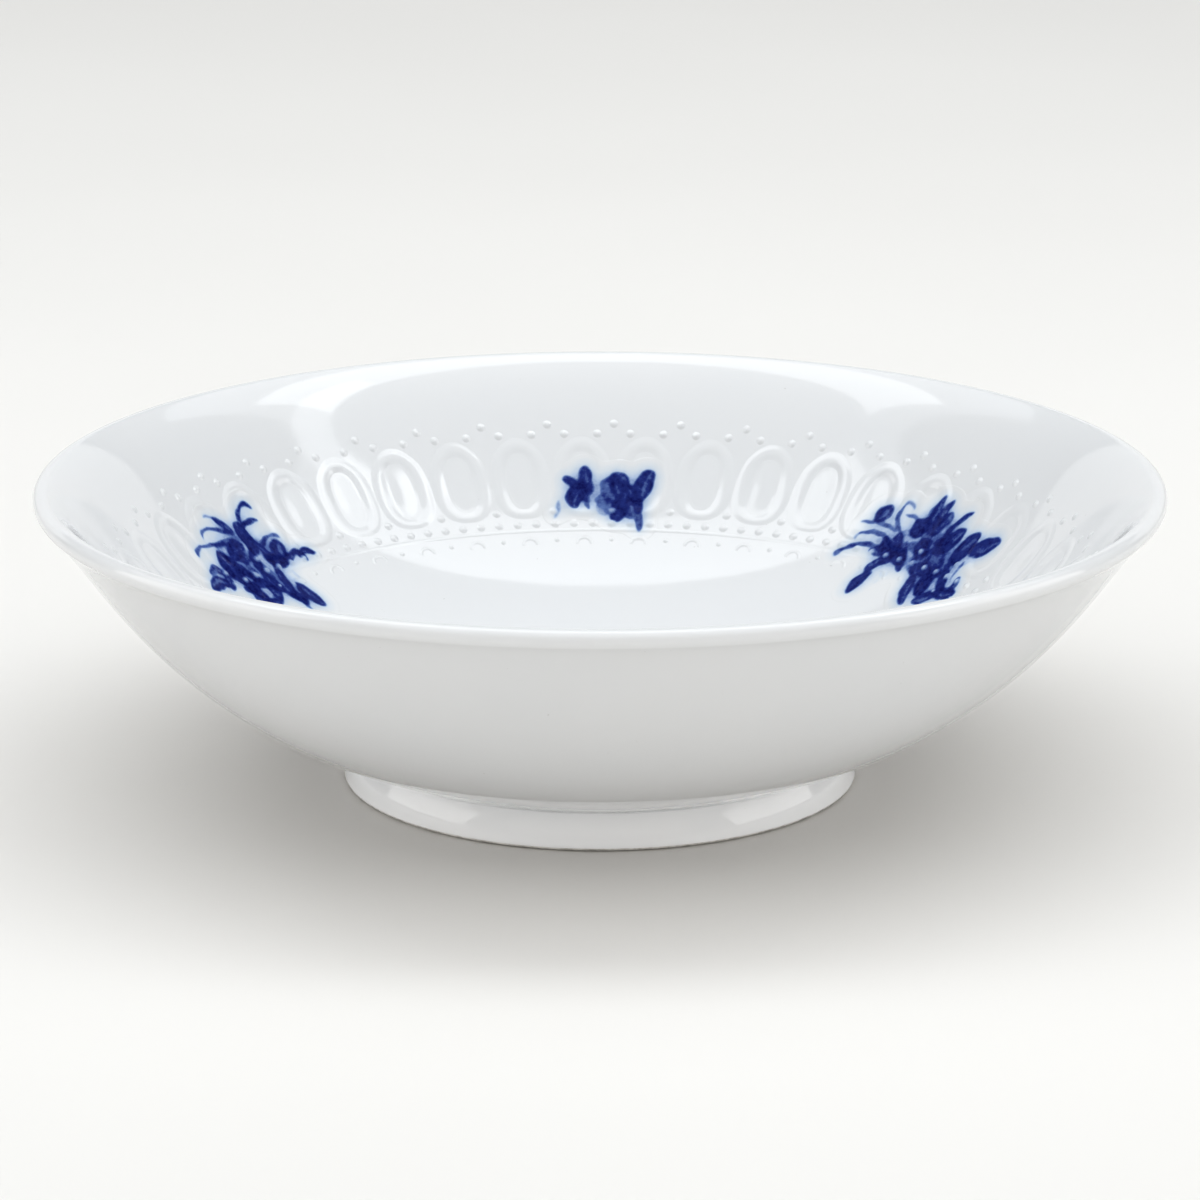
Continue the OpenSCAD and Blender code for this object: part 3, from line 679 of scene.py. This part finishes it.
def ramp(tree, value, stops):
    """Colour ramp over (position, colour) stops."""
    node = add_node(tree, "ShaderNodeValToRGB", Fac=value)
    while len(node.color_ramp.elements) < len(stops):
        node.color_ramp.elements.new(0.5)
    for element, (position, colour) in zip(node.color_ramp.elements, stops):
        element.position = position
        element.color = (*colour, 1)
    return node.outputs["Color"]


def remap(tree, value, low, high, new_low, new_high):
    """Carries a value from one range to another, held at the ends."""
    node = add_node(tree, "ShaderNodeMapRange", Value=value,
                    From_Min=low, From_Max=high, To_Min=new_low, To_Max=new_high)
    return node.outputs["Result"]


def mix_values(tree, factor, first, second):
    node = tree.nodes.new("ShaderNodeMix")
    for index, value in ((0, factor), (2, first), (3, second)):
        feed(tree, node.inputs[index], value)
    return node.outputs[0]


def mix_colours(tree, factor, first, second, blend="MIX"):
    node = tree.nodes.new("ShaderNodeMix")
    node.data_type = "RGBA"
    node.blend_type = blend
    for index, value in ((0, factor), (6, first), (7, second)):
        feed(tree, node.inputs[index], value)
    return node.outputs[2]


def glazed(tree, bsdf, whiteness=BODY_WHITE):
    """White body under a clear glaze: faint clouding, rare specks, an uneven gloss."""
    coords = object_coords(tree)
    deep = tuple(whiteness * v for v in (0.97, 0.985, 1.0))
    pale = tuple(whiteness * v for v in (0.99, 1.0, 1.01))
    cloud = ramp(tree, noise(tree, coords, scale=22, detail=4), [(0.3, deep), (0.7, pale)])
    speck, clear = (0.6, 0.58, 0.55), (1, 1, 1)
    specks = ramp(tree, noise(tree, coords, scale=900, detail=1), [(0.17, speck), (0.19, clear)])
    colour = mix_colours(tree, 0.35, cloud, specks, "MULTIPLY")
    gloss = remap(tree, noise(tree, coords, scale=45), 0.3, 0.7, *GLAZE_ROUGHNESS)
    ripple = add_node(tree, "ShaderNodeBump", Strength=0.1, Distance=0.0006,
                      Height=noise(tree, coords, scale=60, detail=2))
    feed(tree, bsdf.inputs["Roughness"], gloss)
    feed(tree, bsdf.inputs["Normal"], ripple.outputs["Normal"])
    feed(tree, bsdf.inputs["IOR"], 1.52)
    feed(tree, bsdf.inputs["Coat Weight"], COAT)
    feed(tree, bsdf.inputs["Coat Roughness"], 0.03)
    return coords, colour, gloss


def porcelain(name):
    material, tree, bsdf = new_material(name)
    _, colour, _ = glazed(tree, bsdf)
    feed(tree, bsdf.inputs["Base Color"], colour)
    return material


def foot_porcelain():
    """Glazed sides, and a bearing edge wiped bare, ground and a little scuffed."""
    material, tree, bsdf = new_material("foot_glaze_and_bare_edge")
    # The foot's paler white is painted light from the front, not a different glaze
    coords, colour, gloss = glazed(tree, bsdf, FOOT_WHITE_PAINTED_LIGHT)
    height = add_node(tree, "ShaderNodeSeparateXYZ", Vector=coords).outputs["Z"]
    bare = remap(tree, height, GLAZE_END + GLAZE_FADE, GLAZE_END, 0, 1)
    dirty, ground = (0.42, 0.4, 0.37), (0.72, 0.71, 0.68)
    scuffs = ramp(tree, noise(tree, coords, scale=260, detail=5, roughness=0.7),
                  [(0.38, dirty), (0.56, ground)])
    feed(tree, bsdf.inputs["Base Color"], mix_colours(tree, bare, colour, scuffs))
    feed(tree, bsdf.inputs["Roughness"], mix_values(tree, bare, gloss, BARE_ROUGHNESS))
    return material


def cobalt():
    """Cobalt in the glaze: pale where it has run out, nearly black where the brush pressed."""
    material, tree, bsdf = new_material("cobalt_in_glaze")
    coords, white, _ = glazed(tree, bsdf)
    ink = tree.nodes.new("ShaderNodeAttribute")
    ink.attribute_name = "ink"
    watery = remap(tree, noise(tree, coords, scale=700, detail=4, roughness=0.65), 0.3, 0.7, 0.8, 1.12)
    depth = tree.nodes.new("ShaderNodeMath")
    depth.operation = "MULTIPLY"
    depth.use_clamp = True
    feed(tree, depth.inputs[0], ink.outputs["Fac"])
    feed(tree, depth.inputs[1], watery)
    depth = depth.outputs[0]
    wash = ramp(tree, depth, COBALT_WASH)
    feed(tree, bsdf.inputs["Base Color"], mix_colours(tree, 1.0, white, wash, "MULTIPLY"))
    feed(tree, bsdf.inputs["Coat Weight"], remap(tree, depth, 0.04, 0.3, COAT, 0))
    feed(tree, bsdf.inputs["Specular IOR Level"], remap(tree, depth, 0.04, 0.3, 0.5, 0.03))
    return material


def make_floor():
    material, tree, bsdf = new_material("pale_floor")
    tint = ramp(tree, noise(tree, object_coords(tree), scale=3, detail=2),
                [(0.3, FLOOR_DARKER), (0.7, FLOOR_PALER)])
    feed(tree, bsdf.inputs["Base Color"], tint)
    feed(tree, bsdf.inputs["Roughness"], 0.9)
    feed(tree, bsdf.inputs["Specular IOR Level"], 0.1)
    bpy.ops.mesh.primitive_plane_add(size=FLOOR_SIZE, location=(0, 0, -FLOOR_GAP))
    floor = bpy.context.object
    floor.name = "floor"
    floor.data.materials.append(material)


def add_light(name, place, aim, size, power, colour):
    """A rectangular soft light; places and sizes in metres, power in watts."""
    data = bpy.data.lights.new(name, "AREA")
    data.shape = "RECTANGLE"
    data.size, data.size_y = size
    data.energy = power
    data.color = colour
    lamp = bpy.data.objects.new(name, data)
    lamp.location = place
    lamp.rotation_euler = (Vector(aim) - Vector(place)).to_track_quat("-Z", "Y").to_euler()
    bpy.context.collection.objects.link(lamp)
    return lamp


def make_lights():
    """A studio of large soft lights, over a dim even surround."""
    world = bpy.data.worlds.new("studio")
    world.use_nodes = True
    surround = world.node_tree.nodes["Background"]
    surround.inputs["Color"].default_value = (0.95, 0.975, 1.0, 1)
    surround.inputs["Strength"].default_value = 0.25
    bpy.context.scene.world = world
    bowl = (0, 0, 0.04)
    cool, neutral, warm = (0.95, 0.98, 1.0), (1.0, 0.985, 0.965), (1.0, 0.925, 0.84)
    add_light("overhead_softbox", place=(0, 0.17, 1.3), aim=(0, 0.05, 0), size=(2.2, 0.5),
              power=7.0, colour=cool)
    add_light("right_strip", place=(0.9, 0.05, 1.0), aim=bowl, size=(0.16, 0.7), power=0.55, colour=cool)
    add_light("ceiling", place=(0, -0.3, 2.4), aim=(0, -0.3, 0), size=(5, 5), power=70, colour=cool)
    add_light("front_fill", place=(0, -2.2, 0.75), aim=bowl, size=(3.6, 1.3), power=7, colour=warm)
    low_card = add_light("low_front_card", place=(0, -2.2, 0.16), aim=(0, 0, 0.02), size=(2.4, 0.25),
                         power=8, colour=neutral)
    low_card.visible_glossy = False
    add_light("back_card", place=(0, 2.2, 0.55), aim=bowl, size=(4.5, 1.0), power=9, colour=neutral)
    for name, side in (("left_fill", -1), ("right_fill", 1)):
        add_light(name, place=(1.9 * side, -0.2, 0.7), aim=bowl, size=(1.8, 1.3),
                  power=13, colour=neutral)


def make_camera():
    """Looks at the bowl from the front and a little above."""
    away = Vector((0, -math.cos(CAMERA_ELEVATION), math.sin(CAMERA_ELEVATION)))
    data = bpy.data.cameras.new("camera")
    data.lens = LENS
    data.sensor_width = 36
    data.clip_start = 0.05
    camera = bpy.data.objects.new("camera", data)
    camera.location = Vector((0, 0, CAMERA_AIM_HEIGHT)) + CAMERA_DISTANCE * away
    camera.rotation_euler = (math.pi / 2 - CAMERA_ELEVATION + CAMERA_LIFT, 0, 0)
    bpy.context.collection.objects.link(camera)
    bpy.context.scene.camera = camera


make_camera()
make_lights()
make_floor()
white = porcelain("glazed_porcelain")
relief = porcelain("glazed_relief")
blue = cobalt()
make_body(white)
make_foot(foot_porcelain())
make_relief(relief)
for spray, azimuth, strokes in (
    ("large_spray_left", -60, LARGE_A),
    ("large_spray_right", 53, LARGE_B),
    ("large_spray_front", 180, LARGE_A),
    ("small_spray_rear", 0.5, SMALL),
    ("small_spray_front_left", -120, SMALL),
    ("small_spray_front_right", 120, SMALL),
):
    make_spray(spray, azimuth, strokes, blue)
bpy.context.scene.view_settings.view_transform = "Standard"
